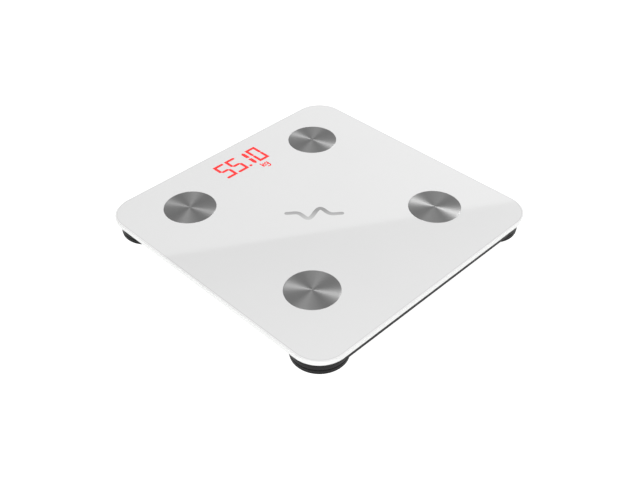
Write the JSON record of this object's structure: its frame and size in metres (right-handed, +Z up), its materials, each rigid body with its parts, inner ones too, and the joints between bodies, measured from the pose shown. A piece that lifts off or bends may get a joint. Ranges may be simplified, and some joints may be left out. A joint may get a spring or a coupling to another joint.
{
  "type": "digital bathroom scale",
  "caption": "Square glass platform with rounded corners and round steel electrodes on load-cell feet, over a slim electronics tray with a battery door.",
  "frame": {"origin": "centre of the foot pads' floor plane, under the middle of the platform", "axes": "+Z up, +X to the user's right, +Y towards the display"},
  "size_m": [0.3, 0.3, 0.0201],
  "materials": {
    "white_glass": "polished tempered glass, printed white on its underside",
    "brushed_electrode": "circular brushed stainless steel",
    "plated_steel": "nickel plated, satin",
    "charcoal_plastic": "fine moulded texture",
    "foot_rubber": "matte",
    "gasket_foam": "closed-cell foam",
    "board_lacquer": "green solder lacquer",
    "chip_black": "moulded epoxy",
    "display_red": "red LED module",
    "diffuser_film": "white diffusing film",
    "battery_jacket": "printed sleeve, plain",
    "wire_insulation": "PVC"
  },
  "bodies": {
    "scale_body": {"glass_platform": "white_glass", "electrode_front_left": "brushed_electrode", "electrode_nut_front_left": "plated_steel", "sensor_housing_front_left": "charcoal_plastic", "load_cell_front_left": "plated_steel", "load_cell_wire_front_left": "wire_insulation", "electrode_wire_front_left": "wire_insulation", "electrode_front_right": "brushed_electrode", "electrode_nut_front_right": "plated_steel", "sensor_housing_front_right": "charcoal_plastic", "load_cell_front_right": "plated_steel", "load_cell_wire_front_right": "wire_insulation", "electrode_wire_front_right": "wire_insulation", "electrode_back_left": "brushed_electrode", "electrode_nut_back_left": "plated_steel", "sensor_housing_back_left": "charcoal_plastic", "load_cell_back_left": "plated_steel", "load_cell_wire_back_left": "wire_insulation", "electrode_wire_back_left": "wire_insulation", "electrode_back_right": "brushed_electrode", "electrode_nut_back_right": "plated_steel", "sensor_housing_back_right": "charcoal_plastic", "load_cell_back_right": "plated_steel", "load_cell_wire_back_right": "wire_insulation", "electrode_wire_back_right": "wire_insulation", "base_tray": "charcoal_plastic", "bonding_gasket": "gasket_foam", "battery_1": "battery_jacket", "battery_2": "battery_jacket", "battery_3": "battery_jacket", "battery_contact_left": "plated_steel", "battery_contact_right": "plated_steel", "main_board": "board_lacquer", "board_screw_left": "plated_steel", "board_screw_right": "plated_steel", "controller_chip": "chip_black", "radio_module": "plated_steel", "display_module": "display_red", "display_diffuser": "diffuser_film", "unit_switch": "chip_black", "battery_lead": "wire_insulation"},
    "foot_front_left": {"foot_cap_front_left": "charcoal_plastic", "foot_pad_front_left": "foot_rubber"},
    "foot_front_right": {"foot_cap_front_right": "charcoal_plastic", "foot_pad_front_right": "foot_rubber"},
    "foot_back_left": {"foot_cap_back_left": "charcoal_plastic", "foot_pad_back_left": "foot_rubber"},
    "foot_back_right": {"foot_cap_back_right": "charcoal_plastic", "foot_pad_back_right": "foot_rubber"},
    "battery_door": {"battery_door": "charcoal_plastic"},
    "unit_button": {"unit_button": "charcoal_plastic"}
  },
  "joints": [
    {"name": "foot_front_left_press", "type": "slide", "parent": "scale_body", "child": "foot_front_left", "axis": [0, 0, 1], "range_m": [0, 0.0004], "stiffness_N_per_m": 8000, "springref_m": -0.00125},
    {"name": "foot_front_right_press", "type": "slide", "parent": "scale_body", "child": "foot_front_right", "axis": [0, 0, 1], "range_m": [0, 0.0004], "stiffness_N_per_m": 8000, "springref_m": -0.00125},
    {"name": "foot_back_left_press", "type": "slide", "parent": "scale_body", "child": "foot_back_left", "axis": [0, 0, 1], "range_m": [0, 0.0004], "stiffness_N_per_m": 8000, "springref_m": -0.00125},
    {"name": "foot_back_right_press", "type": "slide", "parent": "scale_body", "child": "foot_back_right", "axis": [0, 0, 1], "range_m": [0, 0.0004], "stiffness_N_per_m": 8000, "springref_m": -0.00125},
    {"name": "battery_door_hinge", "type": "hinge", "parent": "scale_body", "child": "battery_door", "pos_m": [0, 0.0043, 0.0038], "axis": [-1, 0, 0], "range_deg": [0, 90]},
    {"name": "unit_button_press", "type": "slide", "parent": "scale_body", "child": "unit_button", "axis": [0, 0, 1], "range_m": [0, 0.0008], "stiffness_N_per_m": 400, "springref_m": -0.001}
  ]
}
